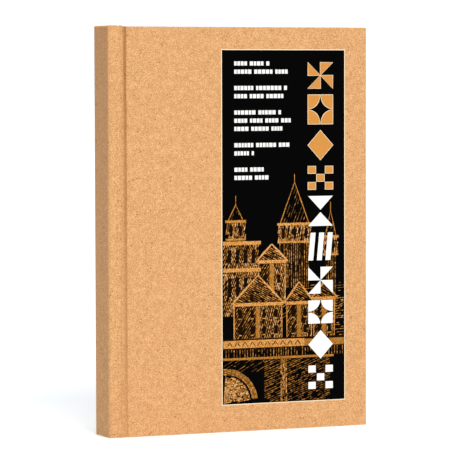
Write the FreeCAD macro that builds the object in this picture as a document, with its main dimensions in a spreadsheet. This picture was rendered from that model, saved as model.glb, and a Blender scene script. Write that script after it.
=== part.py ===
"""Case-bound sketchbook, standing on its tail, as a parametric FreeCAD macro in millimetres.

The frame: +Z is up, from tail to head.  The spine is towards -X and the fore-edge towards +X.
The front cover faces -Y.  The origin is at the middle of the footprint, on the surface it stands on.
In the rules below, x counts from the outer face of the spine, y from the outer face of the front
cover and z from the tail, and place_in_frame moves every piece to the origin of the frame.
"""

import FreeCAD
import Part
import Sketcher
import math
import os

SIZES = [
    ("page_width", 139.7, "leaf, from the fold to the fore-edge"),
    ("page_height", 203.2, "leaf, from tail to head"),
    ("leaf_thickness", 0.215, "drawing paper"),
    ("leaf_gap", 0.01, "air between the leaves of a section"),
    ("section_gap", 0.03, "air between sections"),
    ("section_count", 8, "sections in the text block, an even number"),
    ("sheets_per_section", 4, "folded sheets in a section, two leaves each"),
    ("perforation_setback", 6.0, "from the folds to the line of perforation"),
    ("perforation_cut", 0.1, "width of the perforation slits"),
    ("endpaper_thickness", 0.2, "pastedowns and flyleaves"),
    ("cover_gap", 0.1, "air between a cover and its flyleaf"),
    ("board_thickness", 2.2, "greyboard of covers and spine"),
    ("wrap_thickness", 0.2, "kraft covering paper"),
    ("turn_in", 15.0, "covering paper folded over the board's inner face"),
    ("end_square", 3.2, "cover beyond the leaves at head and at tail"),
    ("fore_square", 2.4, "cover beyond the leaves at the fore-edge"),
    ("joint_width", 9.5, "from the outer face of the spine to the cover board"),
    ("joint_rise", 0.5, "head of the joints' covering above the head of the covers"),
    ("spine_corner", 1.2, "outer radius of the spine's long corners"),
    ("groove_radius", 1.0, "radius of the groove pressed beside the board"),
    ("label_width", 70.7, "printed paper label on the front cover"),
    ("label_thickness", 0.1, "printed paper label"),
    ("label_fore_margin", 12.45, "from the label to the fore-edge of the cover"),
    ("label_head_margin", 11.5, "from the label to the head of the cover"),
    ("label_tail_margin", 13.9, "from the label to the tail of the cover"),
    ("hollow_gap", 0.1, "air between the spine board's turn-ins and the liner"),
    ("liner_thickness", 0.2, "paper liner of the text block's spine"),
    ("liner_inset", 3.0, "liner short of the leaves at head and at tail"),
    ("mull_thickness", 0.15, "open-weave cloth on the text block's spine"),
    ("mull_inset", 14.0, "mull short of the leaves at head and at tail"),
    ("thread_diameter", 0.3, "linen sewing thread"),
    ("stitch_count", 5, "rows of link stitches up the spine"),
    ("stitch_inset", 24.0, "first and last row from the ends of the leaves"),
    ("band_diameter", 1.5, "bead of the headband and tailband"),
    ("band_tape", 9.0, "tape of a band glued down the text block's spine"),
]

# Rules for the sizes that follow from the ones above.
COVER = "(2 * Sizes.wrap_thickness + Sizes.board_thickness + Sizes.endpaper_thickness)"
BOARD_FACE = "(Sizes.wrap_thickness + Sizes.board_thickness)"
TURN_FACE = f"({BOARD_FACE} + Sizes.wrap_thickness)"
LINER_X = f"({TURN_FACE} + Sizes.hollow_gap)"
MULL_X = f"({LINER_X} + Sizes.liner_thickness)"
THREAD_X = f"({MULL_X} + Sizes.mull_thickness)"
FOLD_X = f"({THREAD_X} + Sizes.thread_diameter)"
PERFORATION_X = f"({FOLD_X} + Sizes.perforation_setback)"
FORE_EDGE_X = f"({FOLD_X} + Sizes.page_width)"
BOOK_WIDTH = f"({FORE_EDGE_X} + Sizes.fore_square)"
COVER_HEIGHT = "(Sizes.page_height + 2 * Sizes.end_square)"
JOINT_HEIGHT = f"({COVER_HEIGHT} + Sizes.joint_rise)"
LEAF_PITCH = "(Sizes.leaf_thickness + Sizes.leaf_gap)"
SECTION = f"(2 * Sizes.sheets_per_section * {LEAF_PITCH} - Sizes.leaf_gap)"
SECTION_PITCH = f"({SECTION} + Sizes.section_gap)"
FLYLEAF_Y = f"({COVER} + Sizes.cover_gap)"
BLOCK_Y = f"({FLYLEAF_Y} + Sizes.endpaper_thickness + Sizes.section_gap)"
BLOCK = f"(Sizes.section_count * {SECTION_PITCH} - Sizes.section_gap)"
BOOK_THICKNESS = f"({BLOCK} + 2 * {BLOCK_Y})"
LEAF_HEAD = "(Sizes.end_square + Sizes.page_height)"

CLOCKWISE = -1
COUNTER = 1

doc = FreeCAD.newDocument("Sketchbook")


def make_sheet():
    """Spreadsheet of the driving sizes, one alias each."""
    sheet = doc.addObject("Spreadsheet::Sheet", "Sizes")
    for row, (alias, value, note) in enumerate(SIZES, start=1):
        sheet.set(f"A{row}", note)
        sheet.set(f"B{row}", str(value))
        sheet.setAlias(f"B{row}", alias)
    doc.recompute()
    return sheet


sizes = make_sheet()


def number(rule):
    """Present value of a rule, in millimetres."""
    return float(sizes.evalExpression(rule))


def place_in_frame(thing, x="0", y="0", z="0"):
    """Move an object to x, y, z counted from the spine, the front cover and the tail."""
    thing.setExpression("Placement.Base.x", f"{x} - {BOOK_WIDTH} / 2")
    thing.setExpression("Placement.Base.y", f"{y} - {BOOK_THICKNESS} / 2")
    thing.setExpression("Placement.Base.z", z)


def block(name, x, y, z, along_x, along_y, along_z):
    """Part::Box with its low corner at x, y, z."""
    box = doc.addObject("Part::Box", name)
    box.setExpression("Length", along_x)
    box.setExpression("Width", along_y)
    box.setExpression("Height", along_z)
    place_in_frame(box, x, y, z)
    return box


def cylinder_along_y(name, x, y, z, diameter, length):
    """Part::Cylinder whose axis starts at x, y, z and runs towards the back cover."""
    rod = doc.addObject("Part::Cylinder", name)
    rod.Placement = FreeCAD.Placement(
        FreeCAD.Vector(), FreeCAD.Rotation(FreeCAD.Vector(1, 0, 0), -90)
    )
    rod.setExpression("Radius", f"{diameter} / 2")
    rod.setExpression("Height", length)
    place_in_frame(rod, x, y, z)
    return rod


def cut(name, base, *tools):
    """Part::Cut of base by one tool or by several fused."""
    tool = tools[0]
    if len(tools) > 1:
        tool = fuse(f"{name}_tools", *tools)
    result = doc.addObject("Part::Cut", name)
    result.Base = base
    result.Tool = tool
    return result


def fuse(name, *shapes):
    """Part::MultiFuse of several objects."""
    result = doc.addObject("Part::MultiFuse", name)
    result.Shapes = list(shapes)
    result.Refine = True
    return result


def group(name, members):
    """Part::Compound of separate solids that share a node."""
    result = doc.addObject("Part::Compound", name)
    result.Links = list(members)
    return result


def mirror(name, source):
    """Copy of a front piece for the back, mirrored in the book's middle plane."""
    result = doc.addObject("Part::Mirroring", name)
    result.Source = source
    result.Normal = FreeCAD.Vector(0, 1, 0)
    result.Base = FreeCAD.Vector(0, 0, 0)
    return result


def origin_feature(body, role):
    """Plane or axis of a body's own origin."""
    return next(f for f in body.Origin.OriginFeatures if f.Role == role)


def new_body(name, z="0"):
    """PartDesign body in the book's frame with a sketch on its XY plane."""
    body = doc.addObject("PartDesign::Body", name)
    body.AllowCompound = True
    place_in_frame(body, z=z)
    sketch = body.newObject("Sketcher::SketchObject", f"{name}_profile")
    sketch.AttachmentSupport = (origin_feature(body, "XY_Plane"), [""])
    sketch.MapMode = "FlatFace"
    return body, sketch


def edge_between(start, end, centre, turn):
    """Line, or the arc about centre that leaves start clockwise or counter-clockwise."""
    if centre is None:
        return Part.LineSegment(start, end)
    circle = Part.Circle(centre, FreeCAD.Vector(0, 0, 1), (start - centre).Length)
    first, last = (start, end) if turn == COUNTER else (end, start)
    angles = [math.atan2(p.y - centre.y, p.x - centre.x) for p in (first, last)]
    if angles[1] < angles[0]:
        angles[1] += 2 * math.pi
    return Part.ArcOfCircle(circle, *angles)


def outline(sketch, corners):
    """Add a closed profile to a sketch, with every corner bound to its rules.

    A corner is (x, y), or (x, y, centre x, centre y, turn) where an arc leaves it.
    """
    points = [FreeCAD.Vector(number(c[0]), number(c[1]), 0) for c in corners]
    first = sketch.GeometryCount
    edges = []
    ends = []
    for i, corner in enumerate(corners):
        centre = None
        turn = COUNTER
        if len(corner) > 2:
            centre = FreeCAD.Vector(number(corner[2]), number(corner[3]), 0)
            turn = corner[4]
        edges.append(edge_between(points[i], points[(i + 1) % len(points)], centre, turn))
        ends.append((1, 2) if turn == COUNTER else (2, 1))
    sketch.addGeometry(edges, False)
    for i, corner in enumerate(corners):
        j = (i + 1) % len(corners)
        here = first + i
        sketch.addConstraint(
            Sketcher.Constraint("Coincident", here, ends[i][1], first + j, ends[j][0])
        )
        dimension(sketch, "DistanceX", here, ends[i][0], points[i].x, corner[0])
        dimension(sketch, "DistanceY", here, ends[i][0], points[i].y, corner[1])
        if len(corner) > 2:
            level = math.isclose(points[i].y, points[j].y)
            kind, rule = ("DistanceY", corner[3]) if level else ("DistanceX", corner[2])
            dimension(sketch, kind, here, 3, number(rule), rule)


def dimension(sketch, kind, edge, end, value, rule):
    """Distance of a point from the sketch's origin, bound to a rule."""
    index = sketch.addConstraint(Sketcher.Constraint(kind, -1, 1, edge, end, value))
    name = f"{kind}_{edge}_{end}"
    sketch.renameConstraint(index, name)
    sketch.setExpression(f"Constraints.{name}", rule)


def pad(body, sketch, height):
    """Pad a sketch upwards and make it the body's result."""
    feature = body.newObject("PartDesign::Pad", f"{body.Name}_pad")
    feature.Profile = sketch
    feature.setExpression("Length", height)
    body.Tip = feature
    sketch.Visibility = False
    return feature


def make_cover_board():
    """Greyboard of the front cover, short of the wrap on three edges."""
    return block(
        "front_cover_board",
        "Sizes.joint_width", "Sizes.wrap_thickness", "Sizes.wrap_thickness",
        f"{BOOK_WIDTH} - Sizes.wrap_thickness - Sizes.joint_width",
        "Sizes.board_thickness",
        f"{COVER_HEIGHT} - 2 * Sizes.wrap_thickness",
    )


def make_cover_wrap(board):
    """Covering paper: the outer face, three edges and the turn-ins on the inner face."""
    whole = block(
        "front_cover_wrap_block",
        "Sizes.joint_width", "0", "0",
        f"{BOOK_WIDTH} - Sizes.joint_width", TURN_FACE, COVER_HEIGHT,
    )
    window = block(
        "front_cover_wrap_window",
        "Sizes.joint_width", BOARD_FACE, "Sizes.turn_in",
        f"{BOOK_WIDTH} - Sizes.turn_in - Sizes.joint_width",
        "Sizes.wrap_thickness",
        f"{COVER_HEIGHT} - 2 * Sizes.turn_in",
    )
    return cut("front_cover_wrap", whole, board, window)


def make_pastedown():
    """Endpaper glued inside the front cover: it steps down from the turn-ins to the board."""
    plate = block(
        "front_pastedown_plate",
        "Sizes.joint_width", TURN_FACE, "Sizes.end_square",
        f"{FORE_EDGE_X} - Sizes.joint_width", "Sizes.endpaper_thickness", "Sizes.page_height",
    )
    sunk = block(
        "front_pastedown_sunk",
        "Sizes.joint_width", BOARD_FACE, "Sizes.turn_in",
        f"{BOOK_WIDTH} - Sizes.turn_in - Sizes.joint_width",
        "Sizes.wrap_thickness",
        f"{COVER_HEIGHT} - 2 * Sizes.turn_in",
    )
    recess = block(
        "front_pastedown_recess",
        "Sizes.joint_width",
        f"{BOARD_FACE} + Sizes.endpaper_thickness",
        "Sizes.turn_in + Sizes.endpaper_thickness",
        f"{BOOK_WIDTH} - Sizes.turn_in - Sizes.endpaper_thickness - Sizes.joint_width",
        "Sizes.wrap_thickness",
        f"{COVER_HEIGHT} - 2 * (Sizes.turn_in + Sizes.endpaper_thickness)",
    )
    return cut("front_pastedown", fuse("front_pastedown_raised", plate, sunk), recess)


def make_label():
    """Printed paper label glued to the outer face of the front cover."""
    return block(
        "front_label",
        f"{BOOK_WIDTH} - Sizes.label_fore_margin - Sizes.label_width",
        "0 - Sizes.label_thickness",
        "Sizes.label_tail_margin",
        "Sizes.label_width",
        "Sizes.label_thickness",
        f"{COVER_HEIGHT} - Sizes.label_head_margin - Sizes.label_tail_margin",
    )


def rounded_spine(sketch, inner_x, inset):
    """Profile of the spine with its two outer corners rounded, inset all round its outside."""
    front = f"{inset}"
    back = f"{BOOK_THICKNESS} - {inset}"
    near = "Sizes.spine_corner"
    far = f"{BOOK_THICKNESS} - Sizes.spine_corner"
    outline(sketch, [
        (near, front),
        (inner_x, front),
        (inner_x, back),
        (near, back, near, far, COUNTER),
        (inset, far),
        (inset, near, near, near, COUNTER),
    ])


def make_spine_board():
    """Greyboard stiffener of the spine."""
    body, sketch = new_body("spine_board", "Sizes.wrap_thickness")
    rounded_spine(sketch, BOARD_FACE, "Sizes.wrap_thickness")
    pad(body, sketch, f"{COVER_HEIGHT} - 2 * Sizes.wrap_thickness")
    return body


def make_spine_wrap(board):
    """Covering paper of the spine, with its turn-ins at head and tail."""
    whole, sketch = new_body("spine_wrap_block")
    rounded_spine(sketch, TURN_FACE, "0")
    pad(whole, sketch, COVER_HEIGHT)
    window = block(
        "spine_wrap_window",
        BOARD_FACE, "Sizes.wrap_thickness", "Sizes.turn_in",
        "Sizes.wrap_thickness",
        f"{BOOK_THICKNESS} - 2 * Sizes.wrap_thickness",
        f"{COVER_HEIGHT} - 2 * Sizes.turn_in",
    )
    return cut("spine_wrap", whole, board, window)


def make_joint_wrap():
    """Covering paper between spine and board, pressed into a groove beside the board."""
    body, sketch = new_body("front_joint_wrap")
    centre = "(Sizes.joint_width - Sizes.groove_radius)"
    inner = "(Sizes.groove_radius - Sizes.wrap_thickness)"
    reach = "sqrt(Sizes.groove_radius ^ 2 - Sizes.wrap_thickness ^ 2)"
    outline(sketch, [
        (TURN_FACE, "0"),
        (f"{centre} - {inner}", "0", centre, "0", CLOCKWISE),
        (f"{centre} + {inner}", "0"),
        ("Sizes.joint_width", "0", centre, "0", COUNTER),
        (f"{centre} - {reach}", "Sizes.wrap_thickness"),
        (TURN_FACE, "Sizes.wrap_thickness"),
    ])
    pad(body, sketch, JOINT_HEIGHT)
    return body


def folded_sheet(sketch, low, high, bend, thickness, near_end, far_end):
    """Add a sheet folded at the spine, seen from its head.

    It lies from y = low to y = high, its fold starts at x = bend, and its legs stop at the ends.
    """
    middle = f"(({low} + {high}) / 2)"
    outline(sketch, [
        (near_end, low),
        (near_end, f"{low} + {thickness}"),
        (bend, f"{low} + {thickness}", bend, middle, CLOCKWISE),
        (bend, f"{high} - {thickness}"),
        (far_end, f"{high} - {thickness}"),
        (far_end, high),
        (bend, high, bend, middle, COUNTER),
        (bend, low),
    ])


def make_endpaper_hinge():
    """Fold of the front endpaper, which joins the cover and the flyleaf to the text block."""
    body, sketch = new_body("front_endpaper_hinge", "Sizes.end_square")
    high = f"({FLYLEAF_Y} + Sizes.endpaper_thickness)"
    folded_sheet(
        sketch, TURN_FACE, high,
        f"({FOLD_X} + ({high} - {TURN_FACE}) / 2)",
        "Sizes.endpaper_thickness",
        "Sizes.joint_width",
        f"{PERFORATION_X} - Sizes.perforation_cut",
    )
    pad(body, sketch, "Sizes.page_height")
    return body


def make_flyleaf():
    """Free leaf of the front endpaper."""
    return block(
        "front_flyleaf",
        PERFORATION_X, FLYLEAF_Y, "Sizes.end_square",
        f"{FORE_EDGE_X} - {PERFORATION_X}", "Sizes.endpaper_thickness", "Sizes.page_height",
    )


def section_y(index):
    """Front face of a section, counted from 0 at the front cover."""
    return f"({BLOCK_Y} + {index} * {SECTION_PITCH})"


def make_section_fold(index):
    """Folded inner ends of a section's sheets, nested in each other."""
    body, sketch = new_body(f"section_{index + 1}_fold", "Sizes.end_square")
    end = f"{PERFORATION_X} - Sizes.perforation_cut"
    for sheet in range(int(number("Sizes.sheets_per_section"))):
        folded_sheet(
            sketch,
            f"({section_y(index)} + {sheet} * {LEAF_PITCH})",
            f"({section_y(index)} + {SECTION} - {sheet} * {LEAF_PITCH})",
            f"({FOLD_X} + {SECTION} / 2)",
            "Sizes.leaf_thickness",
            end, end,
        )
    pad(body, sketch, "Sizes.page_height")
    return body


def make_section_leaves(index):
    """Leaves of a section beyond the perforation."""
    name = f"section_{index + 1}_leaves"
    body, sketch = new_body(name, "Sizes.end_square")
    front = section_y(index)
    outline(sketch, [
        (PERFORATION_X, front),
        (FORE_EDGE_X, front),
        (FORE_EDGE_X, f"{front} + Sizes.leaf_thickness"),
        (PERFORATION_X, f"{front} + Sizes.leaf_thickness"),
    ])
    leaf = pad(body, sketch, "Sizes.page_height")
    leaves = body.newObject("PartDesign::LinearPattern", f"{name}_pattern")
    leaves.Originals = [leaf]
    leaves.Direction = (origin_feature(body, "Y_Axis"), [""])
    leaves.setExpression("Length", f"(2 * Sizes.sheets_per_section - 1) * {LEAF_PITCH}")
    leaves.setExpression("Occurrences", "2 * Sizes.sheets_per_section")
    body.Tip = leaves
    return body


def make_mull():
    """Open-weave cloth glued over the sewing."""
    return block(
        "spine_mull",
        MULL_X, BLOCK_Y, "Sizes.end_square + Sizes.mull_inset",
        "Sizes.mull_thickness", BLOCK, "Sizes.page_height - 2 * Sizes.mull_inset",
    )


def make_liner():
    """Paper liner glued over the mull."""
    return block(
        "spine_liner",
        LINER_X, BLOCK_Y, "Sizes.end_square + Sizes.liner_inset",
        "Sizes.liner_thickness", BLOCK, "Sizes.page_height - 2 * Sizes.liner_inset",
    )


def make_thread():
    """Link stitches that tie section to section, in rows across the spine."""
    rows = int(number("Sizes.stitch_count"))
    spread = "(Sizes.page_height - 2 * Sizes.stitch_inset)"
    stitches = [
        cylinder_along_y(
            f"sewing_thread_{row + 1}",
            f"{THREAD_X} + Sizes.thread_diameter / 2",
            f"{BLOCK_Y} + {SECTION} / 2",
            f"Sizes.end_square + Sizes.stitch_inset + {row} * {spread} / (Sizes.stitch_count - 1)",
            "Sizes.thread_diameter",
            f"{BLOCK} - {SECTION}",
        )
        for row in range(rows)
    ]
    return group("sewing_thread", stitches)


def make_band(name, bead_z, tape_z):
    """Cloth band: a bead over the end of the text block and a tape glued down its spine."""
    bead = cylinder_along_y(
        f"{name}_bead",
        f"{THREAD_X} + Sizes.band_diameter / 2", BLOCK_Y, bead_z,
        "Sizes.band_diameter", BLOCK,
    )
    tape = block(
        f"{name}_tape",
        THREAD_X, BLOCK_Y, tape_z,
        "Sizes.thread_diameter", BLOCK, "Sizes.band_tape + Sizes.band_diameter / 2",
    )
    return fuse(name, bead, tape)


def make_bands():
    """Headband and tailband."""
    head = make_band(
        "headband",
        f"{LEAF_HEAD} + Sizes.band_diameter / 2",
        f"{LEAF_HEAD} - Sizes.band_tape",
    )
    tail = make_band(
        "tailband",
        "Sizes.end_square - Sizes.band_diameter / 2",
        "Sizes.end_square - Sizes.band_diameter / 2",
    )
    return [head, tail]


def make_case():
    """The two covers, the spine and the joints between them."""
    board = make_cover_board()
    front = [
        board, make_cover_wrap(board), make_pastedown(),
        make_joint_wrap(), make_endpaper_hinge(), make_flyleaf(),
    ]
    back = [mirror(piece.Name.replace("front", "back"), piece) for piece in front]
    spine = make_spine_board()
    return front + back + [make_label(), spine, make_spine_wrap(spine)]


def make_text_block():
    """The sewn sections and what is glued to their spine."""
    pieces = []
    for index in range(int(number("Sizes.section_count"))):
        pieces.append(make_section_fold(index))
        pieces.append(make_section_leaves(index))
    return pieces + [make_mull(), make_liner(), make_thread()] + make_bands()


def check_document(pieces):
    """Stop if an object failed or a piece has no sound solid."""
    for thing in doc.Objects:
        if "Invalid" in thing.State or "Error" in thing.State:
            raise RuntimeError(f"{thing.Label} did not recompute: {thing.State}")
    for piece in pieces:
        shape = piece.Shape
        if shape.isNull() or not shape.isValid() or not shape.Solids:
            raise RuntimeError(f"{piece.Label} has no sound solid")


def write_steps(pieces):
    """One STEP file for each piece, named by its label."""
    os.makedirs("parts", exist_ok=True)
    for piece in pieces:
        piece.Shape.exportStep(f"parts/{piece.Label}.step")
        print(f"{piece.Label}: {len(piece.Shape.Solids)} solids, {piece.Shape.Volume:.1f} mm3")


pieces = make_case() + make_text_block()
doc.recompute()
check_document(pieces)
write_steps(pieces)
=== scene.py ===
"""Looks of the case-bound sketchbook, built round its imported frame."""

import math

import bmesh
import bpy
import numpy as np
from bpy.props import FloatProperty, FloatVectorProperty, IntProperty, PointerProperty
from mathutils import Euler, Matrix, Vector


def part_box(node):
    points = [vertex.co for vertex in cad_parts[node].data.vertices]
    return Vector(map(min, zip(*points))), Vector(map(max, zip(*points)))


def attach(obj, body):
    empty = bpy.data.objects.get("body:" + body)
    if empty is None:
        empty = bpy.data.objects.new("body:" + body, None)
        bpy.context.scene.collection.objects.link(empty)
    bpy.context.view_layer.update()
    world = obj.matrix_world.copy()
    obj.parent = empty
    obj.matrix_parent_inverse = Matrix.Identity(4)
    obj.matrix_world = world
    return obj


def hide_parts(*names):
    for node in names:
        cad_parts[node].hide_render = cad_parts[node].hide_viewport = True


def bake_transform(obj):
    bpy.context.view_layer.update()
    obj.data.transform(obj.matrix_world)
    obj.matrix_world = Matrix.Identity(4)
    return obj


bl_info = {
    "name": "Case-Bound Sketchbook",
    "version": (1, 0, 0),
    "blender": (4, 5, 0),
    "location": "3D Viewport > Sidebar > Sketchbook",
    "description": "Builds the covering, endpapers, sections, bands and label of a sketchbook",
    "category": "Object",
}

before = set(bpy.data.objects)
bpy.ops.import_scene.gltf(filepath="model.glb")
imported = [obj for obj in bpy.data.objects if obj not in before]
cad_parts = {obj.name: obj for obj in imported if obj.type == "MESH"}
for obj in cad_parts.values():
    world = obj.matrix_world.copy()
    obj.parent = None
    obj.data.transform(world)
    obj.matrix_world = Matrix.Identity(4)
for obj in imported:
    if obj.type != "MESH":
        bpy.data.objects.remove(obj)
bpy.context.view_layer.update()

MM = 0.001
PLACE = "rest_place"
TONE = "tone"

cover_low, cover_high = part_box("front_cover_wrap")
spine_low, spine_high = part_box("spine_wrap")
joint_low, joint_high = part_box("front_joint_wrap")
pastedown_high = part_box("front_pastedown")[1]
hinge_low, hinge_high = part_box("front_endpaper_hinge")
flyleaf_low, flyleaf_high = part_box("front_flyleaf")
label_low, label_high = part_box("front_label")
board_low, board_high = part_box("front_cover_board")

PERFORATION_X = flyleaf_low.x
FOLD_X = hinge_low.x

GROOVE_FOOT = cover_low.x - 0.15 * MM  # where the pressed groove is deepest
RECESS = 0.17 * MM  # step from the turned-in paper down to the bare board
RAMP = 0.7 * MM  # width of that step
COVER_CORE_RADIUS = 0.3 * MM
SPINE_CORE_RADIUS = 1.2 * MM


# ---------------------------------------------------------------- sizes and colours


class CoveringSettings(bpy.types.PropertyGroup):
    corner_head: FloatProperty(
        name="Corner at Head", description="Radius of the spine's long corners at the head",
        default=1.6 * MM, subtype="DISTANCE",
    )
    corner_tail: FloatProperty(
        name="Corner at Tail", description="Radius of the spine's long corners at the tail",
        default=2.1 * MM, subtype="DISTANCE",
    )
    edge_radius: FloatProperty(
        name="Edge Radius", description="Rounding of the paper over the board's edges",
        default=0.45 * MM, subtype="DISTANCE",
    )
    sheet: FloatProperty(
        name="Joint Thickness", description="Paper and lining across the joint",
        default=0.3 * MM, subtype="DISTANCE",
    )
    groove_head: FloatProperty(
        name="Groove at Head", description="Depth of the pressed groove at the head",
        default=1.55 * MM, subtype="DISTANCE",
    )
    groove_tail: FloatProperty(
        name="Groove at Tail", description="Depth of the pressed groove at the tail",
        default=0.95 * MM, subtype="DISTANCE",
    )
    wave: FloatProperty(
        name="Wave", description="Shallow ridges that the press leaves along the joint",
        default=0.16 * MM, subtype="DISTANCE",
    )
    kraft: FloatVectorProperty(
        name="Kraft", description="Main colour of the covering paper",
        default=(0.45, 0.208, 0.072), subtype="COLOR", min=0, max=1,
    )
    kraft_pale: FloatVectorProperty(
        name="Pale Fibre", description="Colour of the lighter fibres and worn edges",
        default=(0.76, 0.432, 0.200), subtype="COLOR", min=0, max=1,
    )
    # kraft_dark also colours the painted shade in the groove and on the spine
    kraft_dark: FloatVectorProperty(
        name="Dark Fibre", description="Colour of the darker fibres and flecks",
        default=(0.24, 0.088, 0.022), subtype="COLOR", min=0, max=1,
    )


class PaperSettings(bpy.types.PropertyGroup):
    drawing: FloatVectorProperty(
        name="Drawing Paper", description="Colour of the leaves",
        default=(0.80, 0.77, 0.70), subtype="COLOR", min=0, max=1,
    )
    endpaper: FloatVectorProperty(
        name="Endpaper", description="Colour of pastedowns and flyleaves",
        default=(0.74, 0.70, 0.62), subtype="COLOR", min=0, max=1,
    )
    leaf: FloatProperty(
        name="Leaf Thickness", description="Thickness of a drawing leaf",
        default=0.2 * MM, subtype="DISTANCE",
    )
    gap: FloatProperty(
        name="Leaf Gap", description="Air between leaves",
        default=0.01 * MM, subtype="DISTANCE",
    )
    sheets: IntProperty(
        name="Sheets", description="Folded sheets in a section", default=4, min=1,
    )
    trim: FloatProperty(
        name="Trim Error", description="How far the leaves' edges stray from flush",
        default=0.05 * MM, subtype="DISTANCE",
    )
    turn_in: FloatProperty(
        name="Turn-In", description="Covering paper folded over inside the cover",
        default=15 * MM, subtype="DISTANCE",
    )


class BandSettings(bpy.types.PropertyGroup):
    ridges: IntProperty(
        name="Ridges", description="Turns of thread along a band", default=34, min=4,
    )
    cotton: FloatVectorProperty(
        name="Cotton", description="Main colour of the bands",
        default=(0.78, 0.74, 0.64), subtype="COLOR", min=0, max=1,
    )
    stripe: FloatVectorProperty(
        name="Stripe", description="Second colour of the bands",
        default=(0.33, 0.15, 0.06), subtype="COLOR", min=0, max=1,
    )


class LabelSettings(bpy.types.PropertyGroup):
    margin: FloatProperty(
        name="Margin", description="Unprinted paper round the label's dark field",
        default=0.4 * MM, subtype="DISTANCE",
    )
    field: FloatVectorProperty(
        name="Field", description="Dark ground of the label",
        default=(0.0006, 0.0005, 0.0005), subtype="COLOR", min=0, max=1,
    )
    stock: FloatVectorProperty(
        name="Stock", description="Paper of the label where it isn't printed",
        default=(0.90, 0.74, 0.52), subtype="COLOR", min=0, max=1,
    )
    white: FloatVectorProperty(
        name="White Ink", description="Ink of the lower ornaments and the small rows",
        default=(0.86, 0.85, 0.83), subtype="COLOR", min=0, max=1,
    )
    amber: FloatVectorProperty(
        name="Amber Ink", description="Ink of the upper ornaments and the townscape",
        default=(0.585, 0.243, 0.038), subtype="COLOR", min=0, max=1,
    )
    amber_tiles: IntProperty(
        name="Amber Ornaments", description="Ornaments printed amber, from the top",
        default=4, min=0,
    )
    ink: FloatProperty(
        name="Ink", description="Thickness of the printed ink",
        default=0.02 * MM, subtype="DISTANCE",
    )


class StudioSettings(bpy.types.PropertyGroup):
    camera_place: FloatVectorProperty(
        name="Camera", description="Where the camera stands",
        default=(-0.6179, -1.4202, 0.1831), subtype="XYZ",
    )
    yaw: FloatProperty(
        name="Yaw", description="Camera turned from +Y towards +X, in degrees",
        default=23.809,
    )
    pitch: FloatProperty(
        name="Pitch", description="Camera tipped down, in degrees", default=2.786,
    )
    lens: FloatProperty(
        name="Lens", description="Focal length in millimetres", default=233.06,
    )
    roll: FloatProperty(
        name="Roll", description="Camera tilted about its own axis, in degrees", default=-0.115,
    )
    shift_across: FloatProperty(
        name="Shift Across", description="Sideways shift of the lens", default=-0.0376,
    )
    shift_up: FloatProperty(
        name="Shift Up", description="Upward shift of the lens", default=-0.0147,
    )
    key: FloatProperty(
        name="Key", description="Strength of the main light", default=2.22, min=0,
    )
    top: FloatProperty(
        name="Top", description="Strength of the light from straight above", default=1.3, min=0,
    )
    sky: FloatProperty(
        name="Sky", description="Strength of the even light all round", default=0.3, min=0,
    )


# ---------------------------------------------------------------- mesh helpers


def tidy_normals(mesh, hollow_from):
    """Turn every closed shell's faces outwards, and those of a hollow's shell inwards."""
    work = bmesh.new()
    work.from_mesh(mesh)
    bmesh.ops.recalc_face_normals(work, faces=work.faces)
    work.faces.ensure_lookup_table()
    bmesh.ops.reverse_faces(work, faces=work.faces[hollow_from:])
    work.to_mesh(mesh)
    work.free()


def make_piece(name, corners, faces, materials, tone=None, slots=None, hollow_from=None, crease=35):
    """Mesh object that carries its rest place and a tone, such as paler rubbed rims (partly a painted
    highlight) and painted shade, as attributes.
    """
    mesh = bpy.data.meshes.new(name)
    mesh.from_pydata([tuple(c) for c in corners], [], [tuple(f) for f in faces])
    tidy_normals(mesh, len(faces) if hollow_from is None else hollow_from)
    for material in materials:
        mesh.materials.append(material)
    if slots is not None:
        mesh.polygons.foreach_set("material_index", np.asarray(slots, np.int32))
    mesh.shade_smooth()
    mesh.set_sharp_from_angle(angle=math.radians(crease))
    place = mesh.attributes.new(PLACE, "FLOAT_VECTOR", "POINT")
    place.data.foreach_set("vector", np.asarray(corners, np.float32).ravel())
    amounts = np.zeros(len(corners)) if tone is None else np.asarray(tone)
    mesh.attributes.new(TONE, "FLOAT", "POINT").data.foreach_set("value", amounts.astype(np.float32))
    piece = bpy.data.objects.new(name, mesh)
    bpy.context.scene.collection.objects.link(piece)
    return piece


def ring_faces(rings, count):
    """Quads between rings of count corners each, ring after ring."""
    faces = []
    for row in range(rings - 1):
        for i in range(count):
            j = (i + 1) % count
            here, above = row * count, (row + 1) * count
            faces.append((here + i, here + j, above + j, above + i))
    return faces


def ladder_cap(start, half):
    """Quads that close a ring made of an outer row and its inner row reversed."""
    last = 2 * half - 1
    return [
        (start + i, start + i + 1, start + last - i - 1, start + last - i)
        for i in range(half - 1)
    ]


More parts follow.
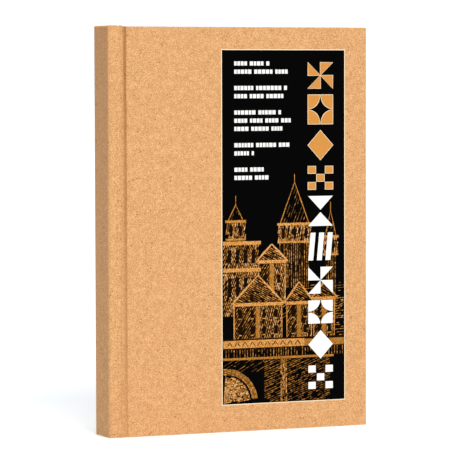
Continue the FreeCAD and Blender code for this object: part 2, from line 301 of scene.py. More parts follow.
def stand_up(section, heights, radius_of, ends):
    """Raise a section into a solid with rounded rims at tail and head.

    section(share) gives the outer and inner rows at a share of the height, radius_of gives the rim's
    radius for each corner, and ends(outer) gives each corner's lowest and highest z.
    """
    steps = 5
    turns = [math.pi / 2 * k / (steps - 1) for k in range(steps)]
    rows = []
    wear_and_painted_light = []
    for turn in reversed(turns):
        rows.append((0.0, turn, -1))
    for share in heights:
        rows.append((share, 0.0, 0))
    for turn in turns:
        rows.append((1.0, turn, 1))
    corners = []
    for share, turn, side in rows:
        outer, inner = section(share)
        ring = np.vstack([outer, inner[::-1]])
        out = outward(ring)
        radius = radius_of(ring)
        low, high = ends(ring)
        inset = radius * (1 - math.cos(turn))
        flat = ring - out * inset[:, None]
        if side == 0:
            z = low + radius + (high - low - 2 * radius) * share
        elif side < 0:
            z = low + radius * (1 - math.sin(turn))
        else:
            z = high - radius * (1 - math.sin(turn))
        corners.append(np.column_stack([flat, z]))
        # rims get tone 1: paler, partly rubbed edges and partly a painted highlight
        wear_and_painted_light.append(np.full(len(ring), 1.0 if side else 0.0))
    count = len(corners[0])
    faces = ring_faces(len(corners), count)
    faces += ladder_cap(0, count // 2)
    faces += ladder_cap((len(corners) - 1) * count, count // 2)
    return np.vstack(corners), faces, np.concatenate(wear_and_painted_light)


def outward(ring):
    """Unit normals of a closed ring of corners, pointing out of it."""
    ahead = np.roll(ring, -1, axis=0) - ring
    behind = ring - np.roll(ring, 1, axis=0)
    ahead /= np.maximum(np.linalg.norm(ahead, axis=1), 1e-12)[:, None]
    behind /= np.maximum(np.linalg.norm(behind, axis=1), 1e-12)[:, None]
    along = ahead + behind
    along /= np.maximum(np.linalg.norm(along, axis=1), 1e-12)[:, None]
    normals = np.column_stack([along[:, 1], -along[:, 0]])
    x, y = ring[:, 0], ring[:, 1]
    area = np.sum(x * np.roll(y, -1) - np.roll(x, -1) * y)
    return normals if area > 0 else -normals


def box_corners(low, high):
    """Eight corners and six faces of a box."""
    corners = [(x, y, z) for z in (low[2], high[2]) for y in (low[1], high[1]) for x in (low[0], high[0])]
    faces = [(0, 2, 3, 1), (4, 5, 7, 6), (0, 1, 5, 4), (2, 6, 7, 3), (0, 4, 6, 2), (1, 3, 7, 5)]
    return corners, faces


def rounded_bar(low, high, radius, grow=0.0):
    """Corners and faces of an upright block with rounded upright edges, grown by a hair if asked."""
    low = np.array(low) - grow
    high = np.array(high) + grow
    ring = []
    left, right = low[0] + radius, high[0] - radius
    near, far = low[1] + radius, high[1] - radius
    for quarter, (x, y) in enumerate(((right, far), (left, far), (left, near), (right, near))):
        for step in range(7):
            turn = math.pi / 2 * (quarter + step / 6)
            ring.append((x + radius * math.cos(turn), y + radius * math.sin(turn)))
    count = len(ring)
    corners = [(x, y, z) for z in (low[2], high[2]) for x, y in ring]
    faces = ring_faces(2, count) + [tuple(range(count)), tuple(range(count, 2 * count))]
    return corners, faces


def smooth_step(value, low, high):
    """0 below low, 1 above high and smooth between."""
    share = np.clip((value - low) / (high - low), 0, 1)
    return share * share * (3 - 2 * share)


# ---------------------------------------------------------------- material helpers


class Finish:
    """A node material with one Principled shader.

    Its pattern follows the rest place that make_piece stores. A piece carried over from the frame has
    none, and its pattern follows its own axes.
    """

    def __init__(self, name, roughness=0.7, specular=0.35, carried_over=False):
        self.material = bpy.data.materials.new(name)
        self.material.use_nodes = True
        self.tree = self.material.node_tree
        self.shader = self.tree.nodes["Principled BSDF"]
        self.shader.inputs["Roughness"].default_value = roughness
        self.shader.inputs["Specular IOR Level"].default_value = specular
        if carried_over:
            self.place = self.add("ShaderNodeTexCoord").outputs["Object"]
        else:
            self.place = self.add("ShaderNodeAttribute", attribute_name=PLACE).outputs["Vector"]

    def add(self, kind, **values):
        node = self.tree.nodes.new(kind)
        for key, value in values.items():
            setattr(node, key, value)
        return node

    def link(self, source, target):
        self.tree.links.new(source, target)
        return target

    def stretched(self, scale):
        """Place scaled by axis, for grain that runs one way."""
        node = self.add("ShaderNodeMapping")
        node.inputs["Scale"].default_value = scale
        self.link(self.place, node.inputs["Vector"])
        return node.outputs["Vector"]

    def noise(self, scale, detail=2.0, rough=0.5, place=None):
        node = self.add("ShaderNodeTexNoise")
        node.inputs["Scale"].default_value = scale
        node.inputs["Detail"].default_value = detail
        node.inputs["Roughness"].default_value = rough
        self.link(place or self.place, node.inputs["Vector"])
        return node.outputs["Fac"]

    def cells(self, scale, place=None):
        node = self.add("ShaderNodeTexVoronoi")
        node.inputs["Scale"].default_value = scale
        self.link(place or self.place, node.inputs["Vector"])
        return node

    def band(self, value, low, high, start=0.0, end=1.0):
        """Map value from low..high to start..end, clamped."""
        node = self.add("ShaderNodeMapRange", clamp=True)
        self.link(value, node.inputs["Value"])
        for key, number in zip(("From Min", "From Max", "To Min", "To Max"), (low, high, start, end)):
            node.inputs[key].default_value = number
        return node.outputs["Result"]

    def combine(self, operation, first, second):
        """Math node on two values, each a number or a socket."""
        node = self.add("ShaderNodeMath", operation=operation)
        for slot, value in enumerate((first, second)):
            if isinstance(value, (int, float)):
                node.inputs[slot].default_value = value
            else:
                self.link(value, node.inputs[slot])
        return node.outputs["Value"]

    def mix(self, share, first, second):
        """Blend two colours by a share."""
        node = self.add("ShaderNodeMix", data_type="RGBA")
        self.link(share, node.inputs["Factor"])
        for key, value in (("A", first), ("B", second)):
            socket = next(s for s in node.inputs if s.name == key and s.type == "RGBA")
            if hasattr(value, "links"):
                self.link(value, socket)
            else:
                socket.default_value = (*value, 1)
        return next(s for s in node.outputs if s.type == "RGBA")

    def colour(self, value):
        socket = self.shader.inputs["Base Color"]
        if hasattr(value, "links"):
            self.link(value, socket)
        else:
            socket.default_value = (*value, 1)

    def rough(self, value):
        self.link(value, self.shader.inputs["Roughness"])

    def relief(self, height, depth, strength=1.0):
        """Bump of a depth in metres."""
        node = self.add("ShaderNodeBump")
        node.inputs["Strength"].default_value = strength
        node.inputs["Distance"].default_value = depth
        self.link(height, node.inputs["Height"])
        self.link(node.outputs["Normal"], self.shader.inputs["Normal"])


def kraft_finish(settings):
    """Uncoated kraft paper: grain, fibres and flecks, paler on rubbed rims (partly a painted highlight),
    with painted shade in the joint's groove, beside it near the tail and on the spine towards the head.
    """
    pale, kraft, dark = (tuple(c) for c in (settings.kraft_pale, settings.kraft, settings.kraft_dark))
    finish = Finish("kraft_paper", roughness=0.78, specular=0.25)
    clump = finish.noise(420, detail=3)
    grain = finish.noise(2000, detail=4, rough=0.68)
    upright = finish.noise(1.0, detail=3, place=finish.stretched((3600, 3600, 600)))
    across = finish.noise(1.0, detail=3, place=finish.stretched((600, 3600, 3600)))
    fibre = finish.combine("MAXIMUM", upright, across)
    ground = finish.mix(finish.band(grain, 0.40, 0.62), kraft, pale)
    ground = finish.mix(finish.band(clump, 0.50, 0.72, 0.0, 0.30), ground, pale)
    ground = finish.mix(finish.band(clump, 0.50, 0.30, 0.0, 0.22), ground, kraft)
    ground = finish.mix(finish.band(fibre, 0.60, 0.72, 0.0, 0.34), ground, dark)
    for size, chance, strength, shade in ((560, 0.61, 0.75, dark), (480, 0.60, 0.65, pale)):
        spot = finish.band(finish.cells(size).outputs["Distance"], 0.14, 0.30, 1.0, 0.0)
        chosen = finish.band(finish.noise(size / 3, detail=0), chance, chance + 0.04)
        share = finish.combine("MULTIPLY", finish.combine("MULTIPLY", spot, chosen), strength)
        ground = finish.mix(share, ground, shade)
    tone = finish.add("ShaderNodeAttribute", attribute_name=TONE).outputs["Fac"]
    patches = finish.band(finish.noise(700, detail=3), 0.40, 0.66)
    # positive tone makes the rims paler in patches: partly rubbed edges, partly a painted highlight
    worn_and_highlit = finish.combine("MULTIPLY", finish.band(tone, 0.0, 1.0), patches)
    ground = finish.mix(finish.combine("MULTIPLY", worn_and_highlit, 0.55), ground, pale)
    # negative tone mixes in painted shade, uneven with the clumps
    uneven = finish.band(clump, 0.3, 0.6, 0.45, 1.0)
    painted_shade_share = finish.combine("MULTIPLY", finish.band(tone, 0.0, -1.0), uneven)
    ground = finish.mix(finish.combine("MULTIPLY", painted_shade_share, 0.5), ground, dark)
    finish.colour(ground)
    finish.rough(finish.band(grain, 0.3, 0.7, 0.70, 0.86))
    height = finish.combine("ADD", grain, finish.combine("MULTIPLY", fibre, 0.8))
    finish.relief(height, 0.05 * MM, 0.7)
    return finish.material


def paper_finish(name, colour, perforated=False):
    """Smooth uncoated paper with a faint tooth, dashed with painted shade for the slits where it is
    perforated.
    """
    finish = Finish(name, roughness=0.82, specular=0.25)
    tooth = finish.noise(2200, detail=4, rough=0.6)
    cloud = finish.noise(120, detail=2)
    shade = tuple(c * 0.93 for c in colour)
    ground = finish.mix(finish.band(tooth, 0.35, 0.7), shade, colour)
    ground = finish.mix(finish.band(cloud, 0.3, 0.7, 0, 0.25), ground, tuple(c * 0.96 for c in colour))
    if perforated:
        parts = finish.add("ShaderNodeSeparateXYZ")
        finish.link(finish.place, parts.inputs["Vector"])
        off = finish.combine("ABSOLUTE", finish.combine("SUBTRACT", parts.outputs["X"], PERFORATION_X), 0)
        near = finish.band(off, 0.10 * MM, 0.20 * MM, 1, 0)
        dash = finish.combine("FRACT", finish.combine("MULTIPLY", parts.outputs["Z"], 1 / (1.6 * MM)), 0)
        # painted shade: the slits are dark dashes in place of cut gaps
        slit = finish.combine("MULTIPLY", near, finish.combine("LESS_THAN", dash, 0.66))
        ground = finish.mix(
            finish.combine("MULTIPLY", slit, 0.7), ground, tuple(c * 0.35 for c in colour)
        )
    finish.colour(ground)
    finish.relief(tooth, 0.03 * MM, 0.5)
    return finish.material


def board_finish():
    """Raw greyboard, speckled with recycled fibre."""
    finish = Finish("greyboard", roughness=0.9, specular=0.2)
    speck = finish.noise(1600, detail=4, rough=0.65)
    ground = finish.mix(finish.band(speck, 0.35, 0.65), (0.20, 0.18, 0.155), (0.34, 0.31, 0.27))
    finish.colour(ground)
    finish.relief(speck, 0.06 * MM)
    return finish.material


def weave_finish(name, colour, pitch):
    """Plain weave of a thread pitch in metres, for a carried-over piece, with painted shade where the
    threads dip.
    """
    finish = Finish(name, roughness=0.88, specular=0.2, carried_over=True)
    parts = finish.add("ShaderNodeSeparateXYZ")
    finish.link(finish.place, parts.inputs["Vector"])
    waves = []
    for axis in ("Y", "Z"):
        turn = finish.combine("MULTIPLY", parts.outputs[axis], math.tau / pitch)
        waves.append(finish.combine("SINE", turn, 0))
    crossed = finish.combine("MULTIPLY", waves[0], waves[1])
    fuzz = finish.noise(3000, detail=3)
    height = finish.combine("ADD", crossed, finish.combine("MULTIPLY", fuzz, 0.6))
    # painted shade: darker where the weave's height is low, where the threads dip under each other; the
    # fuzz adds random tone
    ground = finish.mix(
        finish.band(height, -0.6, 1.0), tuple(c * 0.6 for c in colour), tuple(colour)
    )
    finish.colour(ground)
    finish.relief(height, 0.05 * MM)
    return finish.material


def ink_finish(name, colour, vary=0.12, roughness=0.42, specular=0.3):
    """Printed ink, slightly uneven where the paper's tooth shows through."""
    finish = Finish(name, roughness=roughness, specular=specular)
    tooth = finish.noise(2400, detail=3)
    ground = finish.mix(
        finish.band(tooth, 0.38, 0.7), tuple(c * (1 - vary) for c in colour), tuple(colour)
    )
    finish.colour(ground)
    finish.rough(finish.band(tooth, 0.3, 0.7, roughness - 0.06, roughness + 0.1))
    finish.relief(tooth, 0.012 * MM, 0.5)
    return finish.material


def etched_finish(name, colour):
    """Ink of a night view: each stroke as bright as its tone, paler when brightest, rough grain."""
    finish = Finish(name, roughness=0.5, specular=0.02)
    grain = finish.noise(1500, detail=3, rough=0.65)
    tone = finish.add("ShaderNodeAttribute", attribute_name=TONE).outputs["Fac"]
    lit = finish.combine("MULTIPLY", tone, finish.band(grain, 0.36, 0.58, 0.3, 1.25))
    deep = tuple(c * 0.012 for c in colour)
    pale = (min(1, 1.25 * colour[0]), 1.9 * colour[1], 7 * colour[2])
    ground = finish.mix(finish.band(lit, 0.0, 0.9), deep, tuple(colour))
    finish.colour(finish.mix(finish.band(lit, 0.8, 1.9, 0.0, 0.9), ground, pale))
    finish.relief(grain, 0.012 * MM, 0.5)
    return finish.material


# ---------------------------------------------------------------- covering paper


def spine_rows(settings, share):
    """Outer and inner rows of the spine, from the back joint round to the front shoulder."""
    radius = settings.corner_tail + (settings.corner_head - settings.corner_tail) * share
    front = cover_low.y
    back = -front
    turns = [math.pi / 2 * k / 8 for k in range(9)]
    outer = [(joint_low.x, back)]
    outer += [
        (spine_low.x + radius * (1 - math.sin(t)), back - radius * (1 - math.cos(t))) for t in turns
    ]
    outer += [(spine_low.x, y) for y in np.linspace(back - radius, front + radius, 15)[1:-1]]
    outer += [
        (spine_low.x + radius * (1 - math.cos(t)), front + radius * (1 - math.sin(t))) for t in turns
    ]
    reach = np.linspace(back - settings.sheet, front + 1.5 * settings.sheet, len(outer))
    return np.array(outer), np.column_stack([np.full(len(outer), spine_high.x), reach])


def groove_sink(x, share, settings):
    """How far the covering sinks below the cover's face at x, deeper towards the head."""
    depth = settings.groove_tail + (settings.groove_head - settings.groove_tail) * share
    foot = GROOVE_FOOT + (0.07 * math.sin(34 * share) + 0.05 * math.sin(79 * share)) * MM
    wall = (1.0 - 0.45 * share) * MM
    slope = 3.2 * MM
    left = np.clip(1 - (foot - x) / slope, 0, 1) ** (1.3 + 0.3 * share)
    right = 0.5 + 0.5 * np.cos(np.pi * np.clip((x - foot) / wall, 0, 1))
    sunk = depth * np.where(x < foot, left, right)
    from_joint = x - joint_low.x
    ridge_pitch = 2.2 * MM
    first_ridge = 2.5 * MM
    ripple = 0.5 + 0.5 * np.cos(math.tau * (from_joint - first_ridge) / ridge_pitch)
    fade = smooth_step(from_joint, 0.6 * MM, 1.6 * MM) * (1 - smooth_step(x, foot - 1.2 * MM, foot))
    return sunk + settings.wave * (1.25 - share) * ripple * fade


def window_sink(x, z_share, turn_in):
    """1 inside the window that the turn-ins leave on the board's inner face, 0 on the turn-ins."""
    height = cover_high.z - cover_low.z
    z = z_share * height
    up = smooth_step(z, turn_in, turn_in + RAMP) * smooth_step(height - z, turn_in, turn_in + RAMP)
    return up * smooth_step(cover_high.x - x, turn_in, turn_in + RAMP)


def ramp_steps(turn_in):
    """Distances from the cover's edge at which the step of the turn-ins needs a row of corners."""
    return turn_in + np.array([0, 0.5, 1]) * RAMP


def cover_rows(settings, share, turn_in):
    """Outer and inner rows of the front joint and cover, from the shoulder to the fore-edge."""
    radius = settings.edge_radius
    face = cover_low.y
    joint = np.linspace(joint_low.x + 0.1 * MM, cover_low.x - 3.1 * MM, 18)
    groove = np.linspace(cover_low.x - 2.9 * MM, cover_low.x + 0.9 * MM, 30)
    flat_end = cover_high.x - turn_in - 0.9 * MM
    flat = np.linspace(cover_low.x + 1.2 * MM, flat_end, 26)
    edge = np.linspace(cover_high.x - turn_in - 0.6 * MM, cover_high.x - radius, 12)
    x = np.concatenate([joint, groove, flat, edge])
    outer = np.column_stack([x, face + groove_sink(x, share, settings)])
    sunk = RECESS * window_sink(x, share, turn_in)
    bare = face + groove_sink(np.minimum(x, GROOVE_FOOT), share, settings)
    inner_y = np.where(x < cover_low.x - 0.02 * MM, bare + settings.sheet, cover_high.y - sunk)
    inner = np.column_stack([x, inner_y])
    bend = [math.pi / 2 * k / 5 for k in range(1, 6)]
    round_outer = [
        (cover_high.x - radius * (1 - math.sin(t)), face + radius * (1 - math.cos(t))) for t in bend
    ]
    round_inner = [
        (cover_high.x - radius * (1 - math.sin(t)), cover_high.y - radius * (1 - math.cos(t)))
        for t in bend
    ]
    return np.vstack([outer, round_outer]), np.vstack([inner, round_inner])


def covering_solid(settings, turn_in, with_spine):
    """Corners, faces and tone of the front covering, with the whole spine if asked: paler rubbed rims,
    partly a painted highlight, less the painted shade.
    """

    def section(share):
        outer, inner = cover_rows(settings, share, turn_in)
        if with_spine:
            spine_outer, spine_inner = spine_rows(settings, share)
            outer, inner = np.vstack([spine_outer, outer]), np.vstack([spine_inner, inner])
        return outer, inner

    def radius_of(ring):
        x = ring[:, 0]
        on_sheet = (x > joint_low.x - 0.01 * MM) & (x < cover_low.x + 0.05 * MM)
        return np.where(on_sheet, 0.12 * MM, settings.edge_radius)

    def ends(ring):
        x, depth = ring[:, 0], np.abs(ring[:, 1] - cover_low.y)
        depth = np.minimum(depth, np.abs(ring[:, 1] + cover_low.y))
        puff = 1 - smooth_step(x, cover_low.x - 1.7 * MM, cover_low.x - 0.3 * MM)
        puff = puff * (1 - smooth_step(depth, 0.7 * MM, 1.9 * MM) * (x < joint_low.x))
        high = cover_high.z + (joint_high.z - cover_high.z) * puff
        return np.zeros(len(ring)), high

    def painted_shade(corners):
        """Painted shade, as negative tone: in the groove, in a band beside it near the tail, and on the
        spine near the head.
        """
        x, share = corners[:, 0], corners[:, 2] / cover_high.z
        # painted shade in the groove, weaker towards the tail
        crease = np.exp(-(((x - GROOVE_FOOT) / (0.75 * MM)) ** 2))
        crease = 0.7 * crease * (corners[:, 1] < cover_low.y + 1.8 * MM) * (0.35 + 0.65 * share)
        # painted shade of a shallow hollow beside the groove near the tail
        crease = crease + 0.25 * (1 - share) * np.exp(-(((x - cover_low.x + 2.4 * MM) / (1.9 * MM)) ** 2))
        # painted shade on the spine face, stronger towards the head
        return crease + (x < spine_low.x + 0.3 * MM) * 0.5 * share

    window = ramp_steps(turn_in) / cover_high.z
    heights = np.unique(np.concatenate([np.linspace(0, 1, 49), window, 1 - window]))
    corners, faces, wear_and_painted_light = stand_up(section, heights, radius_of, ends)
    # the tone: paler rims, partly a painted highlight, less the painted shade
    return pucker(corners), faces, wear_and_painted_light - painted_shade(corners)


def pucker(corners):
    """Small creases where the covering is turned in at the head and tail of the joint."""
    x, z = corners[:, 0], corners[:, 2]
    on_joint = smooth_step(x, joint_low.x, joint_low.x + 1.2 * MM)
    on_joint = on_joint * (1 - smooth_step(x, cover_low.x - 1.0 * MM, cover_low.x - 0.4 * MM))
    fade = np.exp(-(joint_high.z - z) / (1.3 * MM)) + 0.5 * np.exp(-z / (1.3 * MM))
    ripple = np.sin((x - joint_low.x) / (0.31 * MM)) * np.cos(z / (0.8 * MM))
    moved = corners.copy()
    moved[:, 1] += 0.20 * MM * on_joint * np.clip(fade, 0, 1) * ripple
    dents = np.sin((x - joint_low.x) / (0.42 * MM) + 1.0)
    moved[:, 2] -= 0.26 * MM * on_joint * (z > joint_high.z - 0.7 * MM) * (0.5 + 0.5 * dents) ** 2
    return moved


def mirrored(corners):
    """The same corners on the other side of the book's middle plane."""
    return np.asarray(corners) * (1, -1, 1)


def cover_core():
    """Lowest and highest corner of the greyboard in the front cover."""
    return (board_low.x + 0.6 * MM, board_low.y, board_low.z), tuple(board_high)


def spine_core():
    """Lowest and highest corner of the greyboard in the spine."""
    low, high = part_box("spine_board")
    return (low.x, low.y + 0.25 * MM, low.z), (high.x, high.y - 0.25 * MM, high.z)


class SKETCHBOOK_OT_covering(bpy.types.Operator):
    """Cover the boards and the spine with kraft paper, pressed into the joints"""

    bl_idname = "sketchbook.covering"
    bl_label = "Covering Paper"
    bl_options = {"REGISTER", "UNDO"}

    def execute(self, context):
        settings = context.scene.sketchbook_covering
        turn_in = context.scene.sketchbook_paper.turn_in
        kraft = kraft_finish(settings)
        for side, with_spine in (("front", True), ("back", False)):
            corners, faces, wear_and_painted_light = covering_solid(settings, turn_in, with_spine)
            outside = len(faces)
            replaced = [f"{side}_cover_wrap", f"{side}_joint_wrap"]
            cores = [(cover_core(), COVER_CORE_RADIUS)]
            if with_spine:
                cores.append((spine_core(), SPINE_CORE_RADIUS))
                replaced.append("spine_wrap")
            for (low, high), radius in cores:
                more, hollow = rounded_bar(low, high, radius, grow=0.01 * MM)
                start = len(corners)
                faces += [tuple(start + i for i in face) for face in hollow]
                corners = np.vstack([corners, more])
            wear_and_painted_light = np.concatenate([wear_and_painted_light, np.zeros(len(corners) - len(wear_and_painted_light))])
            if not with_spine:
                corners = mirrored(corners)
            piece = make_piece(
                f"{side}_covering", corners, faces, [kraft], wear_and_painted_light, hollow_from=outside
            )
            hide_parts(*replaced)
            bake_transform(piece)
        return {"FINISHED"}


class SKETCHBOOK_OT_boards(bpy.types.Operator):
    """Cut the greyboards that stiffen the covers and the spine"""

    bl_idname = "sketchbook.boards"
    bl_label = "Greyboards"
    bl_options = {"REGISTER", "UNDO"}

    def execute(self, context):
        grey = board_finish()
        for body in ("front_cover", "back_cover", "spine"):
            low, high = spine_core() if body == "spine" else cover_core()
            radius = SPINE_CORE_RADIUS if body == "spine" else COVER_CORE_RADIUS
            corners, faces = rounded_bar(low, high, radius)
            if body == "back_cover":
                corners = mirrored(corners)
            piece = make_piece(f"{body}_core", corners, faces, [grey])
            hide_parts(f"{body}_board")
            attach(piece, body)
        return {"FINISHED"}


# ---------------------------------------------------------------- paper sheets


def sheet_solid(path, thickness, low, high, lift=None):
    """Corners and faces of a sheet that follows a path in plan and stands from low to high.

    lift(x, z) moves the sheet along y, for a sheet that lies over a step.
    """
    path = np.asarray(path, float)
    along = np.gradient(path, axis=0)
    along /= np.linalg.norm(along, axis=1)[:, None]
    aside = np.column_stack([-along[:, 1], along[:, 0]]) * thickness / 2
    ring = np.vstack([path + aside, (path - aside)[::-1]])
    levels = [low, high] if lift is None else lift_levels(low, high)
    corners = []
    for z in levels:
        moved = ring.copy()
        if lift is not None:
            moved[:, 1] += lift(moved[:, 0], z)
        corners.append(np.column_stack([moved, np.full(len(ring), z)]))
    count = len(ring)
    faces = ring_faces(len(levels), count) + ladder_cap(0, count // 2)
    faces += ladder_cap((len(levels) - 1) * count, count // 2)
    return np.vstack(corners), faces


def lift_levels(low, high):
    """Heights at which a stepped sheet needs a row of corners."""
    turn_in = bpy.context.scene.sketchbook_paper.turn_in
    edge = ramp_steps(turn_in)
    rows = [low, *edge, *np.linspace(turn_in + 4 * MM, cover_high.z - turn_in - 4 * MM, 12)]
    return np.array(rows + [*(cover_high.z - edge[::-1]), high])


def gutter_steps(fold, fore_edge):
    """Positions along a leaf, close together in the gutter where it bends."""
    gutter = np.linspace(fold, PERFORATION_X + 1.5 * MM, 22)
    return np.concatenate([gutter, np.linspace(PERFORATION_X + 6 * MM, fore_edge, 14)])


def fold_arc(x, low, high, steps=7):
    """Points of a half turn in plan from the high y round to the low y, bulging to the spine."""
    radius = (high - low) / 2
    middle = (high + low) / 2
    return [
        (x - radius * math.sin(math.pi * k / steps), middle + radius * math.cos(math.pi * k / steps))
        for k in range(steps + 1)
    ]


class SKETCHBOOK_OT_endpapers(bpy.types.Operator):
    """Paste down the endpapers and leave their free halves as flyleaves"""

    bl_idname = "sketchbook.endpapers"
    bl_label = "Endpapers"
    bl_options = {"REGISTER", "UNDO"}

    def execute(self, context):
        settings = context.scene.sketchbook_paper
        finish = paper_finish("endpaper", tuple(settings.endpaper))
        thickness = flyleaf_high.y - flyleaf_low.y
        glued = pastedown_high.y - thickness / 2
        free = (flyleaf_low.y + flyleaf_high.y) / 2
        bend = FOLD_X + (hinge_high.y - hinge_low.y) / 2
        arc = fold_arc(bend, glued, free)
        fore_edge = flyleaf_high.x
        middle = len(arc) // 2
        steps = gutter_steps(bend + 0.2 * MM, fore_edge)
        window = cover_high.x - ramp_steps(settings.turn_in)
        over = np.unique(np.concatenate([steps, window]))
        pasted = [arc[k] for k in range(middle, len(arc))] + [(x, glued) for x in over]
        loose = [arc[k] for k in range(middle, -1, -1)] + [(x, free) for x in steps]

        def lift(x, z):
            share = (z - cover_low.z) / (cover_high.z - cover_low.z)
            clear = smooth_step(x, cover_low.x, cover_low.x + 1.5 * MM)
            return -RECESS * window_sink(x, share, settings.turn_in) * clear

        for side in ("front", "back"):
            placed = mirrored if side == "back" else np.asarray
            corners, faces = sheet_solid(pasted, thickness, hinge_low.z, hinge_high.z, lift)
            piece = make_piece(f"{side}_pastedown_sheet", placed(corners), faces, [finish])
            self.join(piece, f"{side}_cover", cover_low.x)
            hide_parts(f"{side}_pastedown", f"{side}_endpaper_hinge")
            corners, faces = sheet_solid(loose, thickness, hinge_low.z, hinge_high.z)
            piece = make_piece(f"{side}_flyleaf_sheet", placed(corners), faces, [finish])
            self.join(piece, f"{side}_flyleaf", PERFORATION_X)
            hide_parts(f"{side}_flyleaf")
        return {"FINISHED"}

    def join(self, piece, body, end_x):
        """Bake the sheet's placement into its mesh."""
        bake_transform(piece)


def section_solid(number, settings, random):
    """Corners and faces of one sewn section: folded sheets nested in each other."""
    low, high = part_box(f"section_{number}_fold")
    leaf_low, leaf_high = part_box(f"section_{number}_leaves")
    pitch = settings.leaf + settings.gap
    bend = low.x + (high.y - low.y) / 2
    corners = []
    faces = []
    for sheet in range(settings.sheets):
        near = low.y + sheet * pitch + settings.leaf / 2
        far = high.y - sheet * pitch - settings.leaf / 2
        strays = random.uniform(-1, 0, 4) * settings.trim
        front = [(x, near) for x in gutter_steps(bend + 0.2 * MM, leaf_high.x + strays[0])]
        back = [(x, far) for x in gutter_steps(bend + 0.2 * MM, leaf_high.x + strays[1])]
        path = back[::-1] + fold_arc(bend, near, far) + front
        more, quads = sheet_solid(
            path, settings.leaf, leaf_low.z - strays[2], leaf_high.z + strays[3]
        )
        start = sum(len(c) for c in corners)
        corners.append(more)
        faces += [tuple(start + i for i in face) for face in quads]
    return np.vstack(corners), faces


class SKETCHBOOK_OT_sections(bpy.types.Operator):
    """Lay in the sewn sections of perforated drawing paper"""

    bl_idname = "sketchbook.sections"
    bl_label = "Sections"
    bl_options = {"REGISTER", "UNDO"}

    def execute(self, context):
        settings = context.scene.sketchbook_paper
        finish = paper_finish("drawing_paper", tuple(settings.drawing), perforated=True)
        random = np.random.default_rng(5)
        names = [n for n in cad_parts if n.startswith("section_") and n.endswith("_leaves")]
        for number in range(1, len(names) + 1):
            corners, faces = section_solid(number, settings, random)
            piece = make_piece(f"section_{number}_sheets", corners, faces, [finish])
            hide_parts(f"section_{number}_fold", f"section_{number}_leaves")
            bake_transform(piece)
        return {"FINISHED"}


# ---------------------------------------------------------------- bands and spine lining


def band_bead(node, at_head, ridges):
    """Corners and faces of a wrapped bead along the end of the text block."""
    low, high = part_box(node)
    radius = (high.x - low.x) / 2
    middle_z = high.z - radius if at_head else low.z + radius
    middle_x = low.x + radius
    lengths = np.linspace(low.y, high.y, ridges * 8 + 1)
    around = 18
    corners = []
    for y in lengths:
        for k in range(around):
            turn = math.tau * k / around
            wave = math.cos(math.tau * ridges * (y - low.y) / (high.y - low.y) + turn)
            reach = radius * (0.90 + 0.08 * wave)
            corners.append((
                middle_x + reach * math.cos(turn), y, middle_z + reach * math.sin(turn),
            ))
    faces = ring_faces(len(lengths), around)
    faces.append(tuple(range(around)))
    start = (len(lengths) - 1) * around
    faces.append(tuple(start + k for k in range(around)))
    return corners, faces


def band_tape(node, at_head):
    """Corners and faces of the tape that a band is woven on."""
    low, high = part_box(node)
    radius = (high.x - low.x) / 2
    thickness = 0.28 * MM
    if at_head:
        return box_corners(low, (low.x + thickness, high.y, high.z - radius))
    return box_corners((low.x, low.y, low.z + radius), (low.x + thickness, high.y, high.z))


def band_finish(settings, ridges):
    """Cotton wound in two colours."""
    finish = Finish("band_cotton", roughness=0.85, specular=0.2)
    parts = finish.add("ShaderNodeSeparateXYZ")
    finish.link(finish.place, parts.inputs["Vector"])
    low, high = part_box("headband")
    turn = finish.combine("MULTIPLY", parts.outputs["Y"], ridges / 4 / (high.y - low.y))
    stripe = finish.combine("LESS_THAN", finish.combine("FRACT", turn, 0), 0.5)
    fuzz = finish.noise(3500, detail=3)
    ground = finish.mix(stripe, tuple(settings.cotton), tuple(settings.stripe))
    ground = finish.mix(finish.band(fuzz, 0.3, 0.7, 0.0, 0.25), ground, (0.1, 0.07, 0.05))
    finish.colour(ground)
    finish.relief(fuzz, 0.04 * MM)
    return finish.material


class SKETCHBOOK_OT_bands(bpy.types.Operator):
    """Wind the headband and tailband and line the text block's spine"""

    bl_idname = "sketchbook.bands"
    bl_label = "Bands and Lining"
    bl_options = {"REGISTER", "UNDO"}

    def execute(self, context):
        settings = context.scene.sketchbook_band
        cotton = band_finish(settings, settings.ridges)
        for node, at_head in (("headband", True), ("tailband", False)):
            corners, faces = band_bead(node, at_head, settings.ridges)
            more, tape = band_tape(node, at_head)
            start = len(corners)
            faces = faces + [tuple(start + i for i in face) for face in tape]
            piece = make_piece(f"{node}_wound", corners + more, faces, [cotton])
            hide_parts(node)
            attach(piece, "spine")
        linings = {
            "spine_mull": weave_finish("mull_gauze", (0.72, 0.69, 0.62), 1.1 * MM),
            "spine_liner": weave_finish("crepe_liner", (0.36, 0.22, 0.12), 0.7 * MM),
            "sewing_thread": weave_finish("linen_thread", (0.74, 0.70, 0.60), 0.25 * MM),
        }
        for node, material in linings.items():
            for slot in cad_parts[node].material_slots:
                slot.material = material
        return {"FINISHED"}


# ---------------------------------------------------------------- label


LAYER = 0.002 * MM  # step in height between prints that cover each other
ORNAMENT_COATS = 6  # thickness of the ornaments and small rows, in single coats of ink
HALO_COATS = 5  # thickness of the pale lines under the amber ornaments
ORNAMENT_HEIGHTS = (13.4, 15.1, 15.2, 12.0, 15.7, 14.5, 14.0, 12.2, 15.0, 12.3)  # millimetres


def label_point(across, up, lift=0.0):
    """Point on the label's face, from its lower spine-side corner, in metres."""
    return (label_low.x + across, label_low.y - lift, label_low.z + up)


